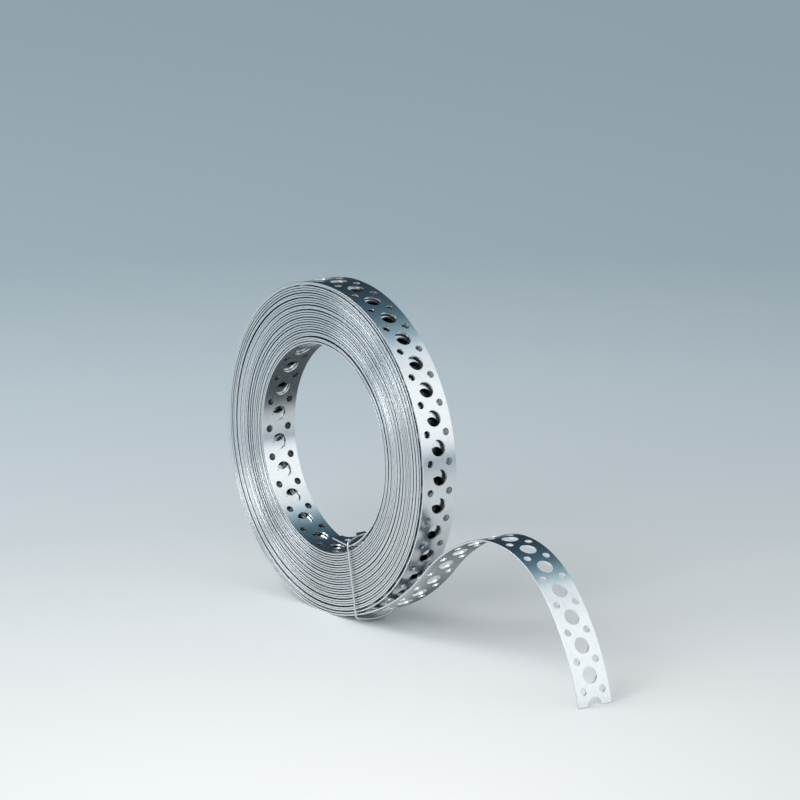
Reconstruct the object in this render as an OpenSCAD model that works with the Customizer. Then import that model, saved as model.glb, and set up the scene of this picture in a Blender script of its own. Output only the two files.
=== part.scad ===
// Coil of perforated galvanised steel strap, standing on its rim with its free end sprung out
// to the floor, and held by one loop of tie wire. Millimetres, +Z up, coil axis along Y.
// The origin is on the floor, at the middle of the length and of the width.

/* [Strap] */
// Width of the strap
strap_w = 17; // [14:0.5:24]
// Thickness of the steel
strap_t = 0.8; // [0.6:0.05:1]
// Spacing of the holes along the strap
hole_pitch = 12.4; // [11:0.1:16]
// Diameter of the bolt holes on the centre line
bolt_hole_d = 7; // [5:0.5:8]
// Diameter of the nail holes, set in pairs between the bolt holes
nail_hole_d = 3.2; // [2:0.2:3.6]
// Distance between the two nail holes of a pair, across the strap
nail_gauge = 9.6; // [8:0.2:10]

/* [Coil] */
// Diameter of the bore that the strap is wound round
bore_d = 90; // [70:1:110]
// Number of tight turns
turns = 25; // [15:1:32]
// Gap between two turns
turn_gap = 0.23; // [0.15:0.01:0.4]
// Depth to which the gaps show on both ends of the coil
gap_depth = 1.6; // [0.6:0.1:3]
// How far a turn may stand proud of, or short of, its neighbours sideways
turn_scatter = 0.3; // [0:0.05:0.6]
// Slack of the outermost turn, which leaves a crescent gap beside the coil
outer_slack = 1.4; // [0.8:0.1:3]

/* [Free end] */
// Angle past the coil's lowest point at which the strap leaves it
leave_angle = 10; // [6:1:16]
// Radius of the bend that lifts the strap off the coil
lift_r = 111; // [95:1:130]
// Angle of the lifting bend
lift_turn = 35.5; // [30:0.5:40]
// Radius of the bend that levels the strap out below its crest
level_r = 87; // [75:1:100]
// Angle of the levelling bend
level_turn = 26.5; // [22:0.5:32]
// Radius of the bend over the crest
crest_r = 46; // [40:1:54]
// Angle of the bend over the crest
crest_turn = 64; // [58:0.5:70]
// Radius of the bend down to the floor
drop_r = 93; // [78:1:108]
// Angle of the bend down to the floor
drop_turn = 30.5; // [26:0.5:35]

/* [Inner end] */
// Angle above the level of the axis at which the innermost turn leaves the bore's wall
inner_leave = 12; // [5:1:20]
// Radius of the innermost turn where it has left the wall
inner_r = 43; // [40:0.5:44]
// Angle of that bend
inner_turn = 72; // [64:1:78]
// Straight run of the innermost turn down to its kink
inner_run = 2; // [1:0.5:6]
// Bend of the strap's inner end at the tie
inner_kink = 35; // [28:1:42]
// Radius of that bend
inner_kink_r = 8; // [6:1:12]
// Straight length of the inner end past the tie
inner_tip = 10; // [6:1:14]

/* [Tie wire] */
// Diameter of the wire
wire_d = 0.9; // [0.6:0.1:1.4]
// Radius of the wire's bends, on its centre line
wire_bend_r = 1.2; // [1:0.1:1.4]
// Slope with which the wire bows up over the inner end
tie_bow = 30; // [20:1:40]
// Slope with which the wire sags below the free end
tie_sag = 18; // [12:1:25]
// Distance from where the strap leaves the coil to the tie
tie_offset = 13; // [10:0.5:16]
// Clearance between the wire and the strap
wire_clear = 0.15; // [0.1:0.05:0.3]

/* [Hidden] */
$fn = 96;

// Radial sink that joins a loose turn to the tight coil where it leaves it
joint_sink = 0.3;
// Overrun of a cutting tool past the face that it enters
overrun = 1;
// Angle between two facets of a bend, small enough to leave it round
facet_turn = 3;
// Sides of the wire, and angle between two rings of its bends
wire_sides = 10;
ring_turn = 12;
// Turn angle that spreads the sideways scatter of the turns evenly
scatter_step = 137.5;

wind_pitch = strap_t + turn_gap;
bore_r = bore_d / 2;
tight_r = bore_r + turns * wind_pitch - turn_gap;
leave_dir = leave_angle - 90;
bolt_drill = [bolt_hole_d, 0];
nail_drills = [[nail_hole_d, nail_gauge / 2], [nail_hole_d, -nail_gauge / 2]];

// A strap's path is a start [x, z, heading] and a list of stretches [length, turn in degrees],
// with plus for a turn to the left and 0 for a straight
function bend(r, a) = [r * abs(a) * PI / 180, a];
function straight(l) = [l, 0];
function share(part, d) = [d, part[1] * d / part[0]];
function path_length(parts, i = 0) = i == len(parts) ? 0 : parts[i][0] + path_length(parts, i + 1);
function ahead(p, d) = [p[0] + d * cos(p[2]), p[1] + d * sin(p[2]), p[2]];
function aside(p, d) = [p[0] - d * sin(p[2]), p[1] + d * cos(p[2]), p[2]];
function turned(p, a) = [p[0], p[1], p[2] + a];
function bent(p, r, a) = aside(turned(aside(p, r), a), -r);
function after(p, part) =
    part[1] == 0 ? ahead(p, part[0]) : bent(p, part[0] / part[1] * 180 / PI, part[1]);
function start_of(p, parts, n) = n == 0 ? p : after(start_of(p, parts, n - 1), parts[n - 1]);
function point_at(p, parts, d, i = 0) =
    i == len(parts) - 1 || d <= parts[i][0]
        ? after(p, share(parts[i], d))
        : point_at(after(p, parts[i]), parts, d - parts[i][0], i + 1);
function on_circle(r, a) = [r * cos(a), r * sin(a), a + 90];
function plan(p) = [p[0], p[1]];
function facets(part, step) = ceil(abs(part[1]) / step + 0.5);
function midline(p, parts, step) = [
    for (i = [0 : len(parts) - 1])
        let (from = start_of(p, parts, i), n = facets(parts[i], step))
            for (j = [0 : n - 1])
                after(from, share(parts[i], parts[i][0] * j / n)),
    start_of(p, parts, len(parts))
];

// The outermost turn starts on the tight coil, swings out by its slack and climbs over its own start
lap_r = tight_r - joint_sink + strap_t / 2;
lap_climb = wind_pitch;
lap_start = on_circle(lap_r, leave_dir);
lap = [straight(outer_slack), bend(lap_r, 180), straight(outer_slack), bend(lap_r + lap_climb / 2, 180)];
floor_z = lap_climb / 2 * sin(leave_dir) - lap_r - lap_climb / 2 - strap_t / 2;

// The free end runs on from the outermost turn to the floor, where it is cut: past its last bend, in
// a straight tip, or in the bend itself if that comes down to the floor first
tail_start = start_of(lap_start, lap, len(lap));
tail_bends = [bend(lift_r, lift_turn), bend(level_r, -level_turn), bend(crest_r, -crest_turn)];
drop_start = start_of(tail_start, tail_bends, len(tail_bends));
floor_heading = 360
    - acos((floor_z - drop_start[1] + drop_r * cos(drop_start[2])) / (drop_r - strap_t / 2));
floor_turn = drop_start[2] - floor_heading;
drop = bend(drop_r, -min(drop_turn, floor_turn));
drop_end = after(drop_start, drop);
tip_run = (floor_z - drop_end[1] + strap_t / 2 * cos(drop_end[2])) / sin(drop_end[2]);
tail = concat(tail_bends, drop_turn < floor_turn ? [drop, straight(tip_run)] : [drop]);
tail_length = path_length(tail);
lap_length = path_length(lap);
tip = start_of(tail_start, tail, len(tail));

// The innermost turn leaves the bore's wall, runs down to the tie and ends past it
inner_start = turned(on_circle(bore_r + joint_sink - strap_t / 2, inner_leave), 180);
inner = [
    bend(inner_r, -inner_turn),
    straight(inner_run),
    bend(inner_kink_r, -inner_kink),
    straight(inner_tip)
];
inner_length = path_length(inner);

// The tie is a loop of two straight sides and two bows, over the inner end and under the free end
tie_top = aside(after(start_of(inner_start, inner, 2), share(inner[2], inner[2][0] / 2)), -strap_t / 2);
tie_foot = aside(point_at(tail_start, tail, tie_offset), -strap_t / 2);
tie_drop = [tie_foot[0] - tie_top[0], tie_foot[1] - tie_top[1]];
tie_long = norm(tie_drop);
tie_lean = atan2(tie_drop[1], tie_drop[0]);
tie_wide = strap_w + 2 * (turn_scatter + wire_clear) + wire_d;
function tie_end(slope) =
    let (bow_r = (tie_wide / 2 - wire_bend_r * (1 - sin(slope))) / sin(slope))
        [bend(wire_bend_r, 90 - slope), bend(bow_r, 2 * slope), bend(wire_bend_r, 90 - slope)];
tie = concat([straight(tie_long)], tie_end(tie_sag), [straight(tie_long)], tie_end(tie_bow));

// From the coil's axis to the origin on the floor
left_x = tail_start[0] - (lap_r + lap_climb) * cos(leave_dir)
    + lap_climb / 2 * cos(leave_dir) - lap_r - lap_climb / 2 - strap_t / 2;
right_x = tip[0] - strap_t / 2 * sin(tip[2]);
home = [-(left_x + right_x) / 2, 0, -floor_z];

module at_point(p) {
    translate([p[0], 0, p[1]])
        rotate([0, -p[2], 0])
            children();
}

// Strap along a path: the outline of its edge, pulled out to the strap's width
module strip(p, parts) {
    line = midline(p, parts, facet_turn);
    last = len(line) - 1;
    left = [for (i = [0 : last]) plan(aside(line[i], strap_t / 2))];
    right = [for (i = [last : -1 : 0]) plan(aside(line[i], -strap_t / 2))];
    rotate([90, 0, 0])
        linear_extrude(strap_w, center = true)
            polygon(concat(left, right));
}

// Drill through a strap from its right-hand face, just past its left-hand one
module drill(hole) {
    translate([0, hole[1], -strap_t / 2 - overrun])
        cylinder(d = hole[0], h = strap_t + overrun + joint_sink);
}

// Holes of the strap from one distance from its cut tip to another
module perforation(p, parts, path_end, from, to) {
    for (k = [ceil(from / hole_pitch) : floor(to / hole_pitch)])
        at_point(point_at(p, parts, path_end - k * hole_pitch))
            drill(bolt_drill);
    for (k = [ceil(from / hole_pitch - 0.5) : floor(to / hole_pitch - 0.5)])
        at_point(point_at(p, parts, path_end - (k + 0.5) * hole_pitch))
            for (hole = nail_drills)
                drill(hole);
}

// Section of the tight turns: each turn's edge stands out at both ends of a common core
module turn_section() {
    translate([bore_r, gap_depth - strap_w / 2])
        square([tight_r - bore_r, strap_w - 2 * gap_depth]);
    for (k = [0 : turns - 1])
        translate([bore_r + k * wind_pitch, turn_scatter * sin(k * scatter_step) - strap_w / 2])
            square([strap_t, strap_w]);
}

// Holes of the innermost tight turn, one strap deep into the bore's wall
module bore_perforation() {
    step = hole_pitch / (bore_r + strap_t / 2) * 180 / PI;
    for (k = [0 : floor(360 / step) - 1]) {
        at_point(turned(on_circle(bore_r + strap_t / 2, k * step), 180))
            drill(bolt_drill);
        at_point(turned(on_circle(bore_r + strap_t / 2, (k + 0.5) * step), 180))
            for (hole = nail_drills)
                drill(hole);
    }
}

module coil() {
    color("silver")
        translate(home)
            union() {
                difference() {
                    rotate([90, 0, 0])
                        rotate_extrude()
                            turn_section();
                    bore_perforation();
                }
                difference() {
                    strip(lap_start, lap);
                    perforation(lap_start, lap, tail_length + lap_length,
                        tail_length - bolt_hole_d / 2, tail_length + lap_length - hole_pitch);
                }
                difference() {
                    strip(inner_start, inner);
                    perforation(inner_start, inner, inner_length, 0, inner_length - hole_pitch);
                }
            }
}

module free_end() {
    color("lightgray")
        translate(home)
            difference() {
                strip(tail_start, tail);
                perforation(tail_start, tail, tail_length, 0, tail_length + bolt_hole_d / 2);
            }
}

// Loop of wire: a ring of points across the loop's line at each of its points, joined into one tube
module tie_wire() {
    line = midline([0, -tie_wide / 2, 0], tie, ring_turn);
    count = len(line) - 1;
    rings = [
        for (i = [0 : count - 1])
            for (k = [0 : wire_sides - 1])
                let (a = 360 * k / wire_sides)
                    concat(plan(aside(line[i], wire_d / 2 * cos(a))), wire_d / 2 * sin(a))
    ];
    sides = [
        for (i = [0 : count - 1])
            for (k = [0 : wire_sides - 1])
                let (i2 = (i + 1) % count, k2 = (k + 1) % wire_sides)
                    [i * wire_sides + k, i2 * wire_sides + k, i2 * wire_sides + k2, i * wire_sides + k2]
    ];
    color("gainsboro")
        translate(home)
            translate([tie_top[0], 0, tie_top[1]])
                rotate([0, -tie_lean, 0])
                    polyhedron(rings, sides);
}

coil();
free_end();
tie_wire();
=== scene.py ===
"""Coil of perforated galvanised steel strap, on its rim with its free end sprung out, and its wire tie."""

import bpy
import numpy as np
from bpy.props import FloatProperty, FloatVectorProperty, IntProperty, PointerProperty
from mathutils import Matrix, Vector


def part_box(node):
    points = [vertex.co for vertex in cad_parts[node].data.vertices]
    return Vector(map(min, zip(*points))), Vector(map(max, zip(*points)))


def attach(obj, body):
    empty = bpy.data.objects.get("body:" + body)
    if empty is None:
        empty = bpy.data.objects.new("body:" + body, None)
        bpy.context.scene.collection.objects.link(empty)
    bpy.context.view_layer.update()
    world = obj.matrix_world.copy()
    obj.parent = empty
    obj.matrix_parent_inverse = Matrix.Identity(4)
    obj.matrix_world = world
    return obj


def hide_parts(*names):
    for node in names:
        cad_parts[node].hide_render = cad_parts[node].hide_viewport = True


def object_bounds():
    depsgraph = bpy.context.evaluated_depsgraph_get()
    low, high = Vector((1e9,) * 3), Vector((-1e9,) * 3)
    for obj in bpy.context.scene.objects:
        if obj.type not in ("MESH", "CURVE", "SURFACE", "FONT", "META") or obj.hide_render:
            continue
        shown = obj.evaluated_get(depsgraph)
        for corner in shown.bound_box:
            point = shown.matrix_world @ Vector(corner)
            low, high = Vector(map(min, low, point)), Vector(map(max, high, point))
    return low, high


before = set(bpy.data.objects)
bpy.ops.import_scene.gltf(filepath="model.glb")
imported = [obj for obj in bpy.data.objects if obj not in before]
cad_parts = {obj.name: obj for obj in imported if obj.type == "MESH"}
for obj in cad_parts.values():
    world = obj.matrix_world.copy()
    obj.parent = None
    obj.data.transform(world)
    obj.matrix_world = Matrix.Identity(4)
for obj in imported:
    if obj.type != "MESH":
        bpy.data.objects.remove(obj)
cad_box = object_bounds()

bl_info = {
    "name": "Perforated strap coil",
    "version": (1, 0, 0),
    "blender": (4, 5, 0),
    "location": "View3D > Sidebar > Strap coil",
    "description": "Winds a perforated steel strap into a coil and ties it with wire",
    "category": "Add Mesh",
}

STRIP_UV = "strip"
SHEARED = "sheared"
PAINTED_SHADE = "deep"

# Two points that are closer than this are one
TINY = 1e-7
# Half the length of strap that is meshed round a bolt hole
BOLT_SIDE = 0.004
# Lines that the strap's mesh follows, by distance from its middle: past the bolt hole, and on to the edge
BOLT_LINES = np.array([0.0013, 0.0026, 0.00335, 0.0041])
FLANK_LINES = np.array([0.0041, 0.00555, 0.007])
# Degrees from one point of the winding to the next
TURN_STEP = 0.25
# Passes that bring the strap's length to a whole number of holes
LENGTH_PASSES = 3
# Waves in the turns, in waves a turn, which open and close the gaps and shift the turns sideways, and the
# lead of each wave over the one before it in radians
GAP_WAVES = (0.37, 0.61, 1.43)
SIDE_WAVES = (0.29, 0.53, 0.71)
WAVE_LEAD = 2.4
# The mean of three waves stays well under 1, so it is raised by these
GAP_GAIN = 1.7
SIDE_GAIN = 1.5
# The sideways waves rise from the inner cut, and are full after a loose turn's length divided by this
SIDE_ONSET = 1.5
# Sides of the wire's section
WIRE_SIDES = 12

# Share of the painted shade on what shows through the bolt holes and the nail holes: round the coil, and in
# its bore
BOLT_PAINTED_SHADE = (1.0, 0.45)
NAIL_PAINTED_SHADE = (0.5, 1.0)
# The painted shade fades out between these distances from the strap's middle
PAINTED_SHADE_BORDER = (0.0065, 0.0075)

# Rolling lines are some hundredths of a millimetre apart: drawn 0.5 mm apart, and 40 mm long, so that
# they show
ROLLING_LINES = (0.04, 0.0005)
# Zinc crystals are about 2.5 mm across, and their colour lies between these shares of the coat's
ZINC_CRYSTAL = 0.0025
ZINC_SHADES = (0.9, 1.08)
# Least roughness of the strip, and what lines, crystals and sheared walls add to it
STRIP_ROUGH = 0.12
LINES_ROUGH = 0.12
CRYSTAL_ROUGH = 0.06
SHEARED_ROUGH = 0.12
# Depth of the rolling lines, and how strongly it shows
LINES_RELIEF = 0.0001
RELIEF_STRENGTH = 0.05
# Die lines are hundredths of a millimetre apart: drawn 0.2 mm apart, and 6 mm long, so that they show
DIE_LINES = (0.006, 0.0002)
# Darkest share of the wire's colour, its least roughness, and what the die lines add to that
DIE_SHADE = 0.85
WIRE_ROUGH = 0.2
DIE_ROUGH = 0.2

# What the gloss shows of the room, by degrees about the coil's axis
ROOM_BANDS = (
    (1, "#e8eef1"),
    (15, "#fcfeff"),
    (65, "#fafdfe"),
    (75, "#eaf4f8"),
    (85, "#a9c1cb"),
    (95, "#7f9ba7"),
    (105, "#5a7481"),
    (115, "#466070"),
    (135, "#2e434f"),
    (163, "#23353f"),
    (179, "#35464f"),
)
# Even light on all that isn't gloss
EVEN_TONE = (0.93, 0.97, 1.0, 1)
EVEN_STRENGTH = 0.45
# Softboxes, turned to the coil: place, side in metres and power in watts
LAMPS = (
    ("softbox_left", (-0.7, -1.1, 1.5), 1.3, 17.2),
    ("softbox_front", (0.7, -1.7, 1.05), 1.2, 18.0),
    ("softbox_right", (1.5, 1.15, 0.9), 1.4, 1.0),
)
# Half the side of the paper on the floor
FLOOR_REACH = 8
# Painted pool of light on the paper: its tones by distance from its palest place, which lies in front of
# the coil
PALEST_PLACE = 0.25
PAPER_REACH = 2.0
PAPER_PAINTED_LIGHT_POOL = (
    (0.03, "#fdfefe"),
    (0.12, "#f7f9f9"),
    (0.28, "#e7ebec"),
    (0.45, "#d2dade"),
    (0.7, "#c5d2d9"),
    (1.0, "#afc1cb"),
    (1.6, "#b2c6d1"),
    (1.95, "#b7cdd8"),
)
PAPER_ROUGH = 0.75
PAPER_SHINE = 0.2
# Painted shade that only the gloss sees: a dark card on the floor behind the coil, standing in for the
# shade there. Where it starts, is full, stops being full and ends
SHADE_CARD_X = (-0.24, -0.17, -0.03, 0.045)
SHADE_CARD_Y = (0.0095, 0.024, 0.1, 0.16)
SHADE_CARD_HEIGHT = 0.0001
SHADE_CARD_COVER = 0.85
SHADE_CARD_TONE = "#1f2a30"
# Width of the camera's frame in millimetres, and the nearest and farthest that it sees in metres
SENSOR_WIDTH = 36
SIGHT = (0.05, 50)


def linear(code):
    """sRGB hex to linear: each channel c is c / 12.92 up to 0.04045, and ((c + 0.055) / 1.055) ** 2.4
    above it."""
    c = np.array([int(code[i : i + 2], 16) for i in (1, 3, 5)]) / 255
    return tuple(np.where(c <= 0.04045, c / 12.92, ((c + 0.055) / 1.055) ** 2.4))


def length_property(name, description, default):
    return FloatProperty(name=name, description=description, default=default, unit="LENGTH", precision=5)


def angle_property(name, description, degrees):
    return FloatProperty(name=name, description=description, default=np.radians(degrees), unit="ROTATION")


def colour_property(name, description, code):
    return FloatVectorProperty(
        name=name, description=description, default=linear(code), subtype="COLOR", size=3
    )


class StrapSettings(bpy.types.PropertyGroup):
    """The steel strap and its holes."""

    width: length_property("Width", "Width of the strap", 0.017)
    thickness: length_property("Thickness", "Thickness of the steel", 0.0008)
    hole_pitch: length_property("Hole pitch", "Spacing of the holes along the strap", 0.0124)
    bolt_hole: length_property("Bolt hole", "Diameter of the holes on the centre line", 0.007)
    nail_hole: length_property("Nail hole", "Diameter of the holes in pairs between them", 0.0032)
    nail_gauge: length_property("Nail gauge", "Distance between the two holes of a pair", 0.0096)
    edge_round: length_property("Edge round", "Rounding of the slit edges", 0.00016)
    zinc: colour_property("Zinc", "Colour of the zinc coat", "#e3e8eb")
    steel: colour_property("Sheared steel", "Colour of the sheared edges", "#e6e9ea")
    # Painted shade: the colour that turns lying under others are darkened towards
    depth: colour_property("Depth", "Colour of the turns that lie deep in the coil", "#3b4346")


class CoilSettings(bpy.types.PropertyGroup):
    """The turns of the coil: the tight ones, and the outermost, which is loose."""

    tight_radius: length_property("Tight radius", "Middle of the strap where it goes loose", 0.07061)
    bore_radius: length_property("Bore radius", "Middle of the strap where the inner end starts", 0.0449)
    tight_turns: IntProperty(name="Tight turns", description="Whole turns between those two", default=24)
    climb: length_property("Climb", "Rise of the loose turn over its own start", 0.00103)
    slack: length_property("Slack", "Slack of the outermost turn", 0.0014)
    leave_angle: angle_property("Leave angle", "Where the free end leaves, past the lowest point", 10)
    inner_leave: angle_property("Inner leave", "Where the inner end leaves the bore's wall", 12)
    unevenness: length_property("Unevenness", "Wander of the turns in and out", 0.00009)
    scatter: length_property("Scatter", "Wander of the turns sideways", 0.00026)


class FreeEndSettings(bpy.types.PropertyGroup):
    """The bends of the strap from where it leaves the coil to its tip on the floor."""

    lift_radius: length_property("Lift radius", "Bend that lifts the strap off the coil", 0.111)
    lift_turn: angle_property("Lift turn", "Angle of that bend", 35.5)
    level_radius: length_property("Level radius", "Bend that levels the strap out", 0.087)
    level_turn: angle_property("Level turn", "Angle of that bend", 26.5)
    crest_radius: length_property("Crest radius", "Bend over the crest", 0.046)
    crest_turn: angle_property("Crest turn", "Angle of that bend", 64)
    drop_radius: length_property("Drop radius", "Bend down to the floor", 0.093)
    drop_turn: angle_property("Drop turn", "Angle of that bend", 30.5)


class InnerEndSettings(bpy.types.PropertyGroup):
    """The bends of the strap from the bore's wall to its inner cut."""

    bend_radius: length_property("Bend radius", "Bend of the innermost turn off the wall", 0.043)
    bend_turn: angle_property("Bend turn", "Angle of that bend", 72)
    run: length_property("Run", "Straight run down to the kink", 0.002)
    kink_radius: length_property("Kink radius", "Bend at the tie", 0.008)
    kink_turn: angle_property("Kink turn", "Angle of that bend", 35)
    tip: length_property("Tip", "Straight length past the tie", 0.01)


class WireSettings(bpy.types.PropertyGroup):
    """The loop of tie wire."""

    diameter: length_property("Diameter", "Diameter of the wire", 0.0009)
    bend_radius: length_property("Bend radius", "Bend of the wire at the strap's edges", 0.0012)
    bow: angle_property("Bow", "Slope with which it bows up over the inner end", 30)
    sag: angle_property("Sag", "Slope with which it sags below the free end", 18)
    bright: colour_property("Bright wire", "Colour of the drawn wire", "#d3d6d8")


class StageSettings(bpy.types.PropertyGroup):
    """Floor, light and camera."""

    lens: FloatProperty(
        name="Lens", description="Focal length on a 36 mm frame", default=270.0, unit="CAMERA"
    )
    yaw: angle_property("Yaw", "Turn of the camera about the vertical", 54.03)
    pitch: angle_property("Pitch", "How far the camera looks down", 13.82)
    camera_place: FloatVectorProperty(
        name="Camera",
        description="Place of the camera",
        default=(1.9605, -1.42968, 0.69931),
        subtype="TRANSLATION",
    )


def walk(start, stretches, step=2.5e-4):
    """Points of a path made of straights and bends, and its end. Over the first d of a stretch that turns
    by a in all of its length l, the chord is d * sin(b) / b long, with b = a * d / l / 2, and heads b off
    the start."""
    x, z, heading = start
    runs = [np.array([[x, z]])]
    for length, turn in stretches:
        d = np.linspace(0, length, int(length / step) + 3)[1:]
        half = turn * d / length / 2
        chord = d * np.sinc(half / np.pi)
        run = np.stack([x + chord * np.cos(heading + half), z + chord * np.sin(heading + half)], 1)
        runs.append(run)
        (x, z), heading = run[-1], heading + turn
    return np.concatenate(runs), (x, z, heading)


def bend(radius, turn):
    return radius * abs(turn), turn


def on_circle(radius, angle):
    return radius * np.cos(angle), radius * np.sin(angle), angle + np.pi / 2


def ease(t):
    """Smooth step from 0 to 1: 3 t^2 - 2 t^3."""
    t = np.clip(t, 0, 1)
    return t * t * (3 - 2 * t)


def waves(turn, rates):
    """Mean of sines of the turn angle at rates that don't divide a turn, so neighbouring turns differ."""
    return sum(np.sin(rate * turn + WAVE_LEAD * i) for i, rate in enumerate(rates)) / len(rates)


def winding(coil, bow):
    """Tight turns from the bore outwards. The radius grows evenly with the angle, plus slow waves that open
    some gaps and close others, plus a bow, half a sine over the whole winding, that sets the strap's
    length."""
    leave = coil.leave_angle - np.pi / 2
    sweep = (leave - coil.inner_leave) % (2 * np.pi) + 2 * np.pi * coil.tight_turns
    turn = np.linspace(0, sweep, int(sweep / np.radians(TURN_STEP)))
    t = turn / sweep
    fade = ease(turn / np.pi) * ease((sweep - turn) / np.pi)
    radius = coil.bore_radius + (coil.tight_radius - coil.bore_radius) * t
    radius = radius + coil.unevenness * fade * waves(turn, GAP_WAVES) * GAP_GAIN + bow * np.sin(np.pi * t)
    angle = coil.inner_leave + turn
    return np.stack([radius * np.cos(angle), radius * np.sin(angle)], 1), sweep


def strap_path(strap, coil, free_end, inner_end):
    """Middle line of the whole strap from its inner cut to its outer tip, as [x, z], with the distance
    along it and the lengths of its free end and inner end. The strap is sheared through the middle of a
    hole at both ends, so its length is a whole number of hole pitches."""
    leave = coil.leave_angle - np.pi / 2
    outer = coil.tight_radius + coil.climb / 2
    loose, end = walk(
        on_circle(coil.tight_radius, leave),
        [(coil.slack, 0), bend(coil.tight_radius, np.pi), (coil.slack, 0), bend(outer, np.pi)],
    )
    floor = coil.climb / 2 * np.sin(leave) - outer - strap.thickness / 2
    tail, drop = walk(
        end,
        [
            bend(free_end.lift_radius, free_end.lift_turn),
            bend(free_end.level_radius, -free_end.level_turn),
            bend(free_end.crest_radius, -free_end.crest_turn),
            bend(free_end.drop_radius, -free_end.drop_turn),
        ],
    )
    reach = (floor - drop[1] + strap.thickness / 2 * np.cos(drop[2])) / np.sin(drop[2])
    tip, end = walk(drop, [(reach, 0)])
    inner, _ = walk(
        (*on_circle(coil.bore_radius, coil.inner_leave)[:2], coil.inner_leave - np.pi / 2),
        [
            bend(inner_end.bend_radius, -inner_end.bend_turn),
            (inner_end.run, 0),
            bend(inner_end.kink_radius, -inner_end.kink_turn),
            (inner_end.tip, 0),
        ],
    )
    home = np.array([-(end[0] - strap.thickness / 2 * np.sin(end[2]) - cad_box[1].x), -floor])

    bow = 0.0
    for _ in range(LENGTH_PASSES):
        turns, sweep = winding(coil, bow)
        line = np.concatenate([inner[::-1], turns[1:], loose[1:], tail[1:], tip[1:]])
        along = np.concatenate([[0], np.cumsum(np.hypot(*np.diff(line, axis=0).T))])
        wanted = np.rint(along[-1] / strap.hole_pitch) * strap.hole_pitch
        bow += (wanted - along[-1]) * np.pi / (2 * sweep)
    # Number of the last point of the loose turn: each piece after the first gives one point less
    leaves = len(inner) + len(turns) + len(loose) - 3
    return line + home, along, along[-1] - along[leaves], along[len(inner) - 1]


def grid(xs, ys):
    """Corners and quads of a plain patch between the lines xs and ys."""
    x, y = np.meshgrid(xs, ys, indexing="ij")
    i = np.arange(x.size).reshape(x.shape)
    quads = np.stack([i[:-1, :-1], i[1:, :-1], i[1:, 1:], i[:-1, 1:]], -1).reshape(-1, 4)
    return np.stack([x.ravel(), y.ravel()], 1), quads


def holed(xs, ys, centre, radius):
    """Corners and quads of a patch with a round hole: each point of the patch's border is joined to the
    point of the circle that lies the same share of the way round. Both start at the lower left, at -135
    degrees."""
    side = len(xs) - 1
    low = np.stack([xs[:-1], np.full(side, ys[0])], 1)
    right = np.stack([np.full(side, xs[-1]), ys[:-1]], 1)
    high = np.stack([xs[:0:-1], np.full(side, ys[-1])], 1)
    left = np.stack([np.full(side, xs[0]), ys[:0:-1]], 1)
    border = np.concatenate([low, right, high, left])
    n = len(border)
    a = 2 * np.pi * np.arange(n) / n - 0.75 * np.pi
    circle = np.array(centre) + radius * np.stack([np.cos(a), np.sin(a)], 1)
    i = np.arange(n)
    j = (i + 1) % n
    return np.concatenate([border, circle]), np.stack([i, j, j + n, i + n], 1)


def joined(patches):
    """Several patches as one list of corners and one of quads."""
    starts = np.cumsum([0] + [len(p) for p, _ in patches[:-1]])
    quads = [q + start for (_, q), start in zip(patches, starts)]
    return np.concatenate([p for p, _ in patches]), np.concatenate(quads)


def bolt_column(strap, lines, flank):
    """Length of the flat strap with one bolt hole, on lines across it: both ways from the middle, and the
    flank."""
    ys = np.concatenate([-lines[::-1], [0], lines])
    xs = np.linspace(-BOLT_SIDE, BOLT_SIDE, len(ys))
    return joined([holed(xs, ys, (0, 0), strap.bolt_hole / 2), grid(xs, flank), grid(xs, -flank[::-1])])


def nail_column(strap, lines, flank):
    """Length of the flat strap with one pair of nail holes, on the lines of the bolt hole beside it."""
    mid, gauge = strap.hole_pitch / 2, strap.nail_gauge / 2
    middle = np.concatenate([-lines[1::-1], [0], lines[:2]])
    upper = np.concatenate([lines[1:], flank[1:3]])
    outside = flank[2:]
    xs = np.linspace(BOLT_SIDE, strap.hole_pitch - BOLT_SIDE, len(upper))
    return joined(
        [
            holed(xs, upper, (mid, gauge), strap.nail_hole / 2),
            holed(xs, -upper[::-1], (mid, -gauge), strap.nail_hole / 2),
            grid(xs, middle),
            grid(xs, outside),
            grid(xs, -outside[::-1]),
        ]
    )


def plain_column(strap, flank):
    """Length of the flat strap between two bolt holes of a hidden turn, whose nail holes are left out."""
    ys = np.concatenate([-flank[::-1], [0], flank])
    return grid(np.array([BOLT_SIDE, strap.hole_pitch - BOLT_SIDE]), ys)


def tiled(cell, first, last, pitch):
    """The cell repeated from one hole number to another."""
    points, quads = cell
    k = np.arange(first, last + 1)
    all_points = (points[None] + np.stack([k * pitch, 0 * k], 1)[:, None]).reshape(-1, 2)
    return all_points, (quads[None] + (np.arange(len(k)) * len(points))[:, None, None]).reshape(-1, 4)


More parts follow.
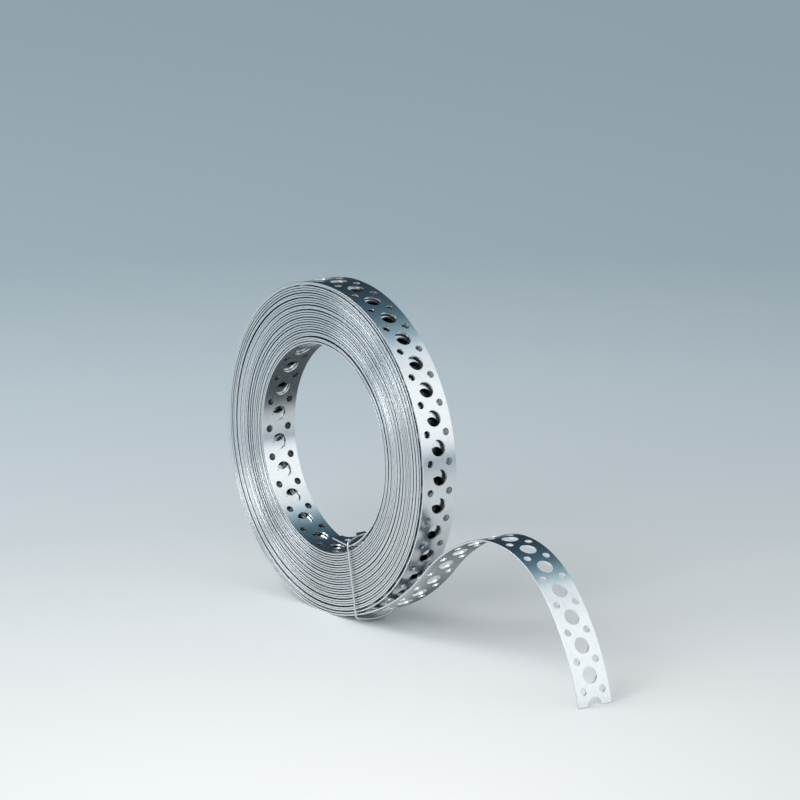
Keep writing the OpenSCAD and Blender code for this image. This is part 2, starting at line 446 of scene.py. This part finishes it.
def flat_strap(strap, length, outer_cells, inner_cells):
    """The whole strap laid flat, as welded points [distance from the tip, place across], quads, the two
    faces with more corners that join the hidden turns to the finer ones that show, and where the hidden
    turns start and end. Faces run clockwise, because the distance counts against the path, which has the
    top face on its left."""
    pitch, half = strap.hole_pitch, strap.width / 2
    rim = half - strap.edge_round
    flank = np.array([*FLANK_LINES, rim, half])
    bare = flank[[0, -2, -1]]
    fine = bolt_column(strap, BOLT_LINES, flank), nail_column(strap, BOLT_LINES, flank)
    coarse = bolt_column(strap, BOLT_LINES[-1:], bare), plain_column(strap, bare)
    count = int(np.rint(length / pitch))
    stretches = (
        (fine, 0, outer_cells),
        (coarse, outer_cells + 1, count - inner_cells - 1),
        (fine, count - inner_cells, count),
    )
    patches, seams = [], []
    for (bolts, between), first, last in stretches:
        patches += [tiled(bolts, first, last, pitch), tiled(between, first, last - 1, pitch)]
        seams.append(np.array([last * pitch + BOLT_SIDE, (last + 1) * pitch - BOLT_SIDE]))
    seams = seams[:-1]
    rims = np.array([-half, -rim]), np.array([rim, half])
    patches += [grid(seam, edge) for seam in seams for edge in rims]
    points, quads = joined(patches)
    mid = points[quads, 0].mean(1)
    quads = quads[(mid > 0) & (mid < length)]

    key = np.rint(points / TINY).astype(np.int64)
    _, first, index = np.unique(key, axis=0, return_index=True, return_inverse=True)
    points, quads = points[first], index.reshape(-1)[quads]

    def line(d):
        row = np.flatnonzero((abs(points[:, 0] - d) < TINY) & (abs(points[:, 1]) < rim + TINY))
        return row[np.argsort(points[row, 1])]

    links = [np.concatenate([line(start)[::-1], line(stop)]) for start, stop in seams]
    used = np.unique(np.concatenate([quads.ravel(), *links]))
    renumber = np.zeros(len(points), np.int64)
    renumber[used] = np.arange(len(used))
    hidden = seams[0][0], seams[1][1]
    return points[used], renumber[quads[:, ::-1]], [renumber[n[::-1]] for n in links], hidden


def borders(quads, links):
    """Edges that only one face has, in that face's direction."""
    loops = [(q, np.roll(q, -1)) for q in links]
    a = np.concatenate([quads.ravel()] + [x for x, _ in loops])
    b = np.concatenate([np.roll(quads, -1, axis=1).ravel()] + [x for _, x in loops])
    lone = ~np.isin(a * (b.max() + 1) + b, b * (b.max() + 1) + a)
    return np.stack([a[lone], b[lone]], 1)


def wall_normals(strap, length, points, edges):
    """Outward direction, in the flat strap, of the walls over its bordering edges: across at the slit
    edges, along at the two cuts, and towards the middle of its hole at a hole's rim."""
    half, pitch = strap.width / 2, strap.hole_pitch
    mid = points[edges].mean(1)
    slit = abs(mid[:, 1]) > half - TINY
    nail_side = np.sign(mid[:, 1]) * strap.nail_gauge / 2
    bolt = np.stack([np.rint(mid[:, 0] / pitch) * pitch, 0 * mid[:, 0]], 1)
    nail = np.stack([(np.floor(mid[:, 0] / pitch) + 0.5) * pitch, nail_side], 1)
    near_bolt = np.hypot(*(mid - bolt).T) < strap.bolt_hole / 2 + TINY
    near_nail = np.hypot(*(mid - nail).T) < strap.nail_hole / 2 + TINY
    centre = np.where(near_bolt[:, None], bolt, nail)
    towards = centre[:, None] - points[edges]
    towards = towards / np.linalg.norm(towards, axis=2, keepdims=True).clip(TINY)
    across = np.stack([0 * mid[:, 1], np.sign(mid[:, 1])], 1)[:, None].repeat(2, 1)
    outward = np.where(mid[:, 0] < length / 2, -1.0, 1.0)
    along = np.stack([outward, 0 * mid[:, 0]], 1)[:, None].repeat(2, 1)
    rim = (near_bolt | near_nail) & ~slit
    return np.where(slit[:, None, None], across, np.where(rim[:, None, None], towards, along))


def new_object(name, points, faces, material):
    mesh = bpy.data.meshes.new(name)
    mesh.from_pydata(points, [], faces, shade_flat=False)
    mesh.materials.append(material)
    if mesh.validate():
        raise RuntimeError(f"{name} has faces that don't hold together")
    made = bpy.data.objects.new(name, mesh)
    bpy.context.scene.collection.objects.link(made)
    return made


def wound_strap(strap, coil, free_end, inner_end, material):
    """The strap as one closed mesh. Each point of the flat strap is carried to its place on the path, half
    the thickness to one side for the top face and to the other for the underside, with walls over every
    border."""
    line, along, free, inner = strap_path(strap, coil, free_end, inner_end)
    length = along[-1]
    loose_turn = 2 * np.pi * coil.tight_radius
    bore_turn = 2 * np.pi * coil.bore_radius
    outer_cells = int((free + 2 * loose_turn) / strap.hole_pitch)
    inner_cells = int(2 * bore_turn / strap.hole_pitch)
    points, quads, links, hidden = flat_strap(strap, length, outer_cells, inner_cells)
    edges = borders(quads, links)

    tangent = np.gradient(line, along, axis=0)
    tangent /= np.linalg.norm(tangent, axis=1, keepdims=True)
    at = length - points[:, 0]
    x, z, tx, tz = (np.interp(at, along, v) for v in (*line.T, *tangent.T))
    turn = np.interp(at, along, np.unwrap(np.arctan2(tangent[:, 1], tangent[:, 0])))
    fade = ease((points[:, 0] - free - loose_turn) / loose_turn) * ease(at / loose_turn * SIDE_ONSET)
    sideways = coil.scatter * fade * waves(turn, SIDE_WAVES) * SIDE_GAIN
    half = strap.thickness / 2
    side = np.where(abs(points[:, 1]) > strap.width / 2 - TINY, np.sign(points[:, 1]), 0)
    lift = np.where(side == 0, half, half - strap.edge_round)
    y = points[:, 1] + sideways
    top = np.stack([x - lift * tz, y, z + lift * tx], 1)
    under = np.stack([x + lift * tz, y, z - lift * tx], 1)

    n = len(points)
    walls = np.stack([edges[:, 1], edges[:, 0], edges[:, 0] + n, edges[:, 1] + n], 1)
    faces = [*quads, *links, *(quads[:, ::-1] + n), *(k[::-1] + n for k in links), *walls]
    corners = [tuple(face.tolist()) for face in faces]
    made = new_object("strap", np.concatenate([top, under]), corners, material)

    flat = (side == 0)[:, None]
    edge_way = np.stack([0 * side, side, 0 * side], 1)
    up = np.where(flat, np.stack([-tz, 0 * tz, tx], 1), edge_way)
    down = np.where(flat, np.stack([tz, 0 * tz, -tx], 1), edge_way)
    out = wall_normals(strap, length, points, edges)
    out = np.stack([-out[..., 0] * tx[edges], out[..., 1], -out[..., 0] * tz[edges]], -1)
    out = np.stack([out[:, 1], out[:, 0], out[:, 0], out[:, 1]], 1)
    top_corners = np.concatenate([quads.ravel(), *links])
    under_corners = np.concatenate([quads[:, ::-1].ravel(), *(k[::-1] for k in links)])
    normals = np.concatenate([up[top_corners], down[under_corners], out.reshape(-1, 3)])
    made.data.normals_split_custom_set(normals)

    corner = np.concatenate([top_corners, under_corners, walls.ravel() % n])
    uv = made.data.uv_layers.new(name=STRIP_UV)
    uv.data.foreach_set("uv", points[corner].astype(np.float32).ravel())
    wall = np.arange(len(faces)) >= len(faces) - len(walls)
    made.data.attributes.new(SHEARED, "FLOAT", "FACE").data.foreach_set("value", wall)

    # Painted shade as a share per point: on the third turn down and deeper, full round the coil and less in
    # the bore, and on the second turns under the nail holes
    outside = points[:, 0] < length / 2
    third = (points[:, 0] > hidden[0]) & (points[:, 0] < hidden[1])
    second = (points[:, 0] > free + loose_turn) & (at > inner + bore_turn)
    start, full = BOLT_LINES[1:3]
    aside = ease((abs(points[:, 1]) - start) / (full - start))
    under_nails = np.where(outside, *NAIL_PAINTED_SHADE) * second * aside
    dark = np.where(third, np.where(outside, *BOLT_PAINTED_SHADE), under_nails)
    made.data.attributes.new(PAINTED_SHADE, "FLOAT", "POINT").data.foreach_set("value", np.tile(dark, 2))
    return made


def tie_end(wire, slope, half):
    """Half of a bowed end of the tie, as a bend off the straight side and half the bow, and how far the bow
    rises. The bow's radius R fills the half width: half = r * (1 - sin(slope)) + R * sin(slope)."""
    r = wire.bend_radius
    bow = (half - r * (1 - np.sin(slope))) / np.sin(slope)
    return [bend(r, np.pi / 2 - slope), bend(bow, slope)], r * np.cos(slope) + bow * (1 - np.cos(slope))


def tie_loop(wire, top, foot, half):
    """Closed middle line of the tie between its highest and lowest point: two straight sides and two bowed
    ends, drawn in the plane of the loop and then leant with it."""
    reach = np.linalg.norm(foot - top)
    bow, rise = tie_end(wire, wire.bow, half)
    sag, dip = tie_end(wire, wire.sag, half)
    side = (reach - rise - dip, 0)
    flat, _ = walk((rise, -half, 0), [side, *sag, *sag[::-1], side, *bow, *bow[::-1]])
    place = top + flat[:-1, :1] / reach * (foot - top)
    return np.stack([place[:, 0], flat[:-1, 1], place[:, 1]], 1)


def tube(path, radius, sides, name, material):
    """Round wire along a closed path that lies in a plane: a circle across the path at each of its points,
    set out from the path's direction and the plane's normal, so that it never twists."""
    tangent = np.roll(path, -1, axis=0) - np.roll(path, 1, axis=0)
    tangent /= np.linalg.norm(tangent, axis=1, keepdims=True)
    flat = path - path.mean(0)
    side = np.linalg.svd(flat, full_matrices=False)[2][2]
    first = np.cross(tangent, side)
    first /= np.linalg.norm(first, axis=1, keepdims=True)
    second = np.cross(tangent, first)
    a = (2 * np.pi * np.arange(sides) / sides)[None, :, None]
    rings = path[:, None] + radius * (np.cos(a) * first[:, None] + np.sin(a) * second[:, None])
    n = len(path)
    i, j = np.meshgrid(np.arange(n), np.arange(sides), indexing="ij")
    i2, j2 = (i + 1) % n, (j + 1) % sides
    quads = np.stack([i * sides + j, i * sides + j2, i2 * sides + j2, i2 * sides + j], -1).reshape(-1, 4)
    made = new_object(name, rings.reshape(-1, 3), quads.tolist(), material)
    run = np.concatenate([[0], np.cumsum(np.linalg.norm(np.roll(path, -1, axis=0) - path, axis=1))])
    u = np.stack([run[i], run[i], run[i + 1], run[i + 1]], -1).ravel()
    v = np.stack([j, j + 1, j + 1, j], -1).ravel() * (2 * np.pi * radius / sides)
    uv = made.data.uv_layers.new(name=STRIP_UV)
    uv.data.foreach_set("uv", np.stack([u, v], 1).astype(np.float32).ravel())
    return made


def add_node(tree, kind, inputs=(), **settings):
    """Adds a node, sets its properties, and sets or links its inputs by name or number."""
    node = tree.nodes.new(kind)
    for name, value in settings.items():
        setattr(node, name, value)
    for key, value in dict(inputs).items():
        if isinstance(value, bpy.types.NodeSocket):
            tree.links.new(value, node.inputs[key])
        else:
            node.inputs[key].default_value = value
    return node


def set_bands(ramp, bands, reach):
    """Puts the colours on the ramp, each at its share of the reach."""
    for place, code in bands:
        ramp.elements.new(place / reach).color = (*linear(code), 1)
    ramp.elements.remove(ramp.elements[0])
    ramp.elements.remove(ramp.elements[-1])


def new_material(name):
    material = bpy.data.materials.new(name)
    material.use_nodes = True
    material.node_tree.nodes.clear()
    return material, material.node_tree


def shaded(colour, share):
    """The colour, lighter or darker by a share and no lighter than white, as a node takes it."""
    return (*[min(c * share, 1) for c in colour], 1)


def galvanised_strip(strap):
    """Cold-rolled strip with a bright zinc coat, slit and punched after coating. It mirrors the room
    softly, with faint rolling lines along it and cloudy patches of zinc, and its sheared walls are brighter
    and rougher. Painted shade darkens the turns that lie under others."""
    material, tree = new_material("galvanised_rolled_strip")
    uv = add_node(tree, "ShaderNodeUVMap", uv_map=STRIP_UV).outputs["UV"]
    lines_scale = (1 / ROLLING_LINES[0], 1 / ROLLING_LINES[1], 1)
    lines_at = add_node(tree, "ShaderNodeVectorMath", {0: uv, 1: lines_scale}, operation="MULTIPLY")
    streaks = {"Vector": lines_at.outputs[0], "Scale": 1.0, "Detail": 3.0}
    lines = add_node(tree, "ShaderNodeTexNoise", streaks).outputs["Fac"]
    cloud_at = add_node(tree, "ShaderNodeVectorMath", {0: uv, "Scale": 1 / ZINC_CRYSTAL}, operation="SCALE")
    crystals = {"Vector": cloud_at.outputs[0], "Scale": 1.0, "Detail": 4.0}
    cloud = add_node(tree, "ShaderNodeTexNoise", crystals).outputs["Fac"]
    edge = add_node(tree, "ShaderNodeAttribute", attribute_name=SHEARED).outputs["Fac"]
    dull, bright = (shaded(strap.zinc, share) for share in ZINC_SHADES)
    coat = add_node(tree, "ShaderNodeMix", {"Factor": cloud, 6: dull, 7: bright}, data_type="RGBA")
    bare = add_node(
        tree, "ShaderNodeMix", {"Factor": edge, 6: coat.outputs[2], 7: (*strap.steel, 1)}, data_type="RGBA"
    )
    # Painted shade: little light comes back through the nail holes, or from the third turn down, which
    # shows only through the bolt holes of two others, so these are darkened towards the shade colour. The
    # strap's flanks are left unshaded, because they show on the coil's ends
    deep = add_node(tree, "ShaderNodeAttribute", attribute_name=PAINTED_SHADE).outputs["Fac"]
    across = add_node(tree, "ShaderNodeSeparateXYZ", {0: uv}).outputs["Y"]
    aside = add_node(tree, "ShaderNodeMath", {0: across}, operation="ABSOLUTE").outputs[0]
    middle = add_node(
        tree, "ShaderNodeMapRange", {"Value": aside, "From Min": PAINTED_SHADE_BORDER[1], "From Max": PAINTED_SHADE_BORDER[0]}
    )
    hidden = add_node(tree, "ShaderNodeMath", {0: deep, 1: middle.outputs[0]}, operation="MULTIPLY")
    colour = add_node(
        tree,
        "ShaderNodeMix",
        {"Factor": hidden.outputs[0], 6: bare.outputs[2], 7: (*strap.depth, 1)},
        data_type="RGBA",
    )
    rough = STRIP_ROUGH
    for pattern, share in ((lines, LINES_ROUGH), (cloud, CRYSTAL_ROUGH), (edge, SHEARED_ROUGH)):
        more = {0: pattern, 1: share, 2: rough}
        rough = add_node(tree, "ShaderNodeMath", more, operation="MULTIPLY_ADD").outputs[0]
    relief = add_node(
        tree, "ShaderNodeBump", {"Height": lines, "Strength": RELIEF_STRENGTH, "Distance": LINES_RELIEF}
    )
    shader = add_node(
        tree,
        "ShaderNodeBsdfPrincipled",
        {"Base Color": colour.outputs[2], "Metallic": 1.0, "Roughness": rough, "Normal": relief.outputs[0]},
    )
    add_node(tree, "ShaderNodeOutputMaterial", {"Surface": shader.outputs[0]})
    return material


def drawn_wire(wire):
    """Soft steel wire, drawn through a die: bright, with fine lines along it that break up the gloss."""
    material, tree = new_material("bright_drawn_wire")
    uv = add_node(tree, "ShaderNodeUVMap", uv_map=STRIP_UV).outputs["UV"]
    lines_scale = (1 / DIE_LINES[0], 1 / DIE_LINES[1], 1)
    lines_at = add_node(tree, "ShaderNodeVectorMath", {0: uv, 1: lines_scale}, operation="MULTIPLY")
    streaks = {"Vector": lines_at.outputs[0], "Scale": 1.0, "Detail": 2.0}
    lines = add_node(tree, "ShaderNodeTexNoise", streaks).outputs["Fac"]
    more = {0: lines, 1: DIE_ROUGH, 2: WIRE_ROUGH}
    rough = add_node(tree, "ShaderNodeMath", more, operation="MULTIPLY_ADD")
    shade = add_node(
        tree,
        "ShaderNodeMix",
        {"Factor": lines, 6: shaded(wire.bright, DIE_SHADE), 7: (*wire.bright, 1)},
        data_type="RGBA",
    )
    shader = add_node(
        tree,
        "ShaderNodeBsdfPrincipled",
        {"Base Color": shade.outputs[2], "Metallic": 1.0, "Roughness": rough.outputs[0]},
    )
    add_node(tree, "ShaderNodeOutputMaterial", {"Surface": shader.outputs[0]})
    return material


def paper_with_painted_light_pool(stage):
    """Matt background paper with a painted pool of light: its colour is pale in front of the coil and
    grey-blue well behind it.
    """
    material, tree = new_material("background_paper_painted_light_pool")
    place = add_node(tree, "ShaderNodeTexCoord").outputs["Object"]
    palest = (PALEST_PLACE * np.sin(stage.yaw), -PALEST_PLACE * np.cos(stage.yaw), 0.0)
    away = add_node(tree, "ShaderNodeVectorMath", {0: place, 1: palest}, operation="DISTANCE")
    part = {0: away.outputs["Value"], 1: 1 / PAPER_REACH}
    share = add_node(tree, "ShaderNodeMath", part, operation="MULTIPLY")
    light_pool_tones = add_node(tree, "ShaderNodeValToRGB", {"Fac": share.outputs[0]})
    set_bands(light_pool_tones.color_ramp, PAPER_PAINTED_LIGHT_POOL, PAPER_REACH)
    shader = add_node(
        tree,
        "ShaderNodeBsdfPrincipled",
        {"Base Color": light_pool_tones.outputs["Color"], "Roughness": PAPER_ROUGH, "Specular IOR Level": PAPER_SHINE},
    )
    add_node(tree, "ShaderNodeOutputMaterial", {"Surface": shader.outputs[0]})
    return material


def reflected_shade_material():
    """Dark sheet, soft at its border, that paints shade into the reflections: it takes light out of the
    gloss and shows nowhere else.
    """
    material, tree = new_material("glossy_only_painted_shade")
    place = add_node(tree, "ShaderNodeTexCoord").outputs["Object"]
    axes = add_node(tree, "ShaderNodeSeparateXYZ", {0: place}).outputs
    cover = SHADE_CARD_COVER
    for axis, start, full, stop, end in (("X", *SHADE_CARD_X), ("Y", *SHADE_CARD_Y)):
        for edge, inside in ((start, full), (end, stop)):
            fade = add_node(
                tree,
                "ShaderNodeMapRange",
                {"Value": axes[axis], "From Min": edge, "From Max": inside},
                interpolation_type="SMOOTHSTEP",
            )
            both = {0: fade.outputs[0], 1: cover}
            cover = add_node(tree, "ShaderNodeMath", both, operation="MULTIPLY").outputs[0]
    shade_sheet = add_node(tree, "ShaderNodeBsdfDiffuse", {"Color": (*linear(SHADE_CARD_TONE), 1)})
    clear = add_node(tree, "ShaderNodeBsdfTransparent")
    shader = add_node(tree, "ShaderNodeMixShader", {0: cover, 1: clear.outputs[0], 2: shade_sheet.outputs[0]})
    add_node(tree, "ShaderNodeOutputMaterial", {"Surface": shader.outputs[0]})
    return material


class STRAPCOIL_OT_strap(bpy.types.Operator):
    """Wind the perforated strap, from its inner end through the turns to its free end"""

    bl_idname = "strapcoil.strap"
    bl_label = "Strap"

    def execute(self, context):
        scene = context.scene
        made = wound_strap(
            scene.strapcoil_strap,
            scene.strapcoil_coil,
            scene.strapcoil_free_end,
            scene.strapcoil_inner_end,
            galvanised_strip(scene.strapcoil_strap),
        )
        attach(made, "root")
        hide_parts("coil", "free_end")
        return {"FINISHED"}


class STRAPCOIL_OT_tie(bpy.types.Operator):
    """Bend the loop of tie wire round the coil's section"""

    bl_idname = "strapcoil.tie"
    bl_label = "Tie wire"

    def execute(self, context):
        wire = context.scene.strapcoil_wire
        low, high = (np.array(corner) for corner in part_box("tie_wire"))
        r = wire.diameter / 2
        top = np.array([low[0] + r, high[2] - r])
        foot = np.array([high[0] - r, low[2] + r])
        path = tie_loop(wire, top, foot, high[1] - r)
        made = tube(path, r, WIRE_SIDES, "tie_wire_loop", drawn_wire(wire))
        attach(made, "root")
        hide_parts("tie_wire")
        return {"FINISHED"}


class STRAPCOIL_OT_stage(bpy.types.Operator):
    """Lay the paper, and set the room, the lamps and the camera"""

    bl_idname = "strapcoil.stage"
    bl_label = "Stage"

    def execute(self, context):
        scene = context.scene
        stage = scene.strapcoil_stage
        reach = (-FLOOR_REACH, FLOOR_REACH)
        self.sheet("floor", reach, reach, 0, paper_with_painted_light_pool(stage))
        # Dark card that only the gloss sees: painted shade in the reflections
        shade_card = self.sheet("shade_card", SHADE_CARD_X[::3], SHADE_CARD_Y[::3], SHADE_CARD_HEIGHT, reflected_shade_material())
        shade_card.visible_camera = shade_card.visible_diffuse = shade_card.visible_transmission = shade_card.visible_shadow = False
        scene.world = self.room()
        for name, place, size, power in LAMPS:
            lamp = bpy.data.lights.new(name, "AREA")
            lamp.energy, lamp.size = power, size
            held = bpy.data.objects.new(name, lamp)
            held.location = place
            held.rotation_euler = (-held.location).to_track_quat("-Z", "Y").to_euler()
            scene.collection.objects.link(held)
        camera = bpy.data.cameras.new("camera")
        camera.lens, camera.sensor_width = stage.lens, SENSOR_WIDTH
        camera.clip_start, camera.clip_end = SIGHT
        seen = bpy.data.objects.new("camera", camera)
        seen.location = stage.camera_place
        seen.rotation_euler = (np.pi / 2 - stage.pitch, 0, stage.yaw)
        scene.collection.objects.link(seen)
        scene.camera = seen
        scene.view_settings.view_transform = "Standard"
        return {"FINISHED"}

    def sheet(self, name, xs, ys, height, material):
        """Level sheet between two places each way."""
        points, quads = grid(xs, ys)
        level = np.full(len(points), height)
        return new_object(name, np.column_stack([points, level]), quads.tolist(), material)

    def room(self):
        """Room round the stage: even pale light, and for the gloss a bright side, a bright ceiling and a
        dark side."""
        world = bpy.data.worlds.new("studio")
        world.use_nodes = True
        tree = world.node_tree
        tree.nodes.clear()
        way = add_node(tree, "ShaderNodeTexCoord").outputs["Generated"]
        axes = add_node(tree, "ShaderNodeSeparateXYZ", {0: way}).outputs
        # Angle about the coil's axis, from the bright side of the room over the top to the dark side
        angle = add_node(tree, "ShaderNodeMath", {0: axes["Z"], 1: axes["X"]}, operation="ARCTAN2")
        part = {0: angle.outputs[0], 1: 1 / np.pi}
        share = add_node(tree, "ShaderNodeMath", part, operation="MULTIPLY")
        bands = add_node(tree, "ShaderNodeValToRGB", {"Fac": share.outputs[0]})
        set_bands(bands.color_ramp, ROOM_BANDS, 180)
        even = add_node(tree, "ShaderNodeBackground", {"Color": EVEN_TONE, "Strength": EVEN_STRENGTH})
        room = add_node(tree, "ShaderNodeBackground", {"Color": bands.outputs["Color"], "Strength": 1.0})
        rays = add_node(tree, "ShaderNodeLightPath").outputs
        shown = rays["Is Camera Ray"]
        for kind in ("Is Glossy Ray", "Is Transmission Ray"):
            either = {0: shown, 1: rays[kind]}
            shown = add_node(tree, "ShaderNodeMath", either, operation="MAXIMUM").outputs[0]
        both = add_node(tree, "ShaderNodeMixShader", {0: shown, 1: even.outputs[0], 2: room.outputs[0]})
        add_node(tree, "ShaderNodeOutputWorld", {"Surface": both.outputs[0]})
        return world


class STRAPCOIL_PT_sidebar(bpy.types.Panel):
    """Sizes and steps of the strap coil."""

    bl_label = "Strap coil"
    bl_idname = "STRAPCOIL_PT_sidebar"
    bl_space_type = "VIEW_3D"
    bl_region_type = "UI"
    bl_category = "Strap coil"

    def draw(self, context):
        for group, step in GROUPS:
            box = self.layout.box()
            settings = getattr(context.scene, group)
            for name in settings.__annotations__:
                box.prop(settings, name)
            if step:
                box.operator(step)


GROUPS = (
    ("strapcoil_strap", None),
    ("strapcoil_coil", None),
    ("strapcoil_free_end", None),
    ("strapcoil_inner_end", "strapcoil.strap"),
    ("strapcoil_wire", "strapcoil.tie"),
    ("strapcoil_stage", "strapcoil.stage"),
)
SETTINGS = (StrapSettings, CoilSettings, FreeEndSettings, InnerEndSettings, WireSettings, StageSettings)
CLASSES = (*SETTINGS, STRAPCOIL_OT_strap, STRAPCOIL_OT_tie, STRAPCOIL_OT_stage, STRAPCOIL_PT_sidebar)


def register():
    for cls in CLASSES:
        bpy.utils.register_class(cls)
    for (group, _), settings in zip(GROUPS, SETTINGS):
        setattr(bpy.types.Scene, group, PointerProperty(type=settings))


def unregister():
    for group, _ in GROUPS:
        delattr(bpy.types.Scene, group)
    for cls in reversed(CLASSES):
        bpy.utils.unregister_class(cls)


def main():
    register()
    bpy.ops.strapcoil.strap()
    bpy.ops.strapcoil.tie()
    bpy.ops.strapcoil.stage()


if __name__ == "__main__":
    main()
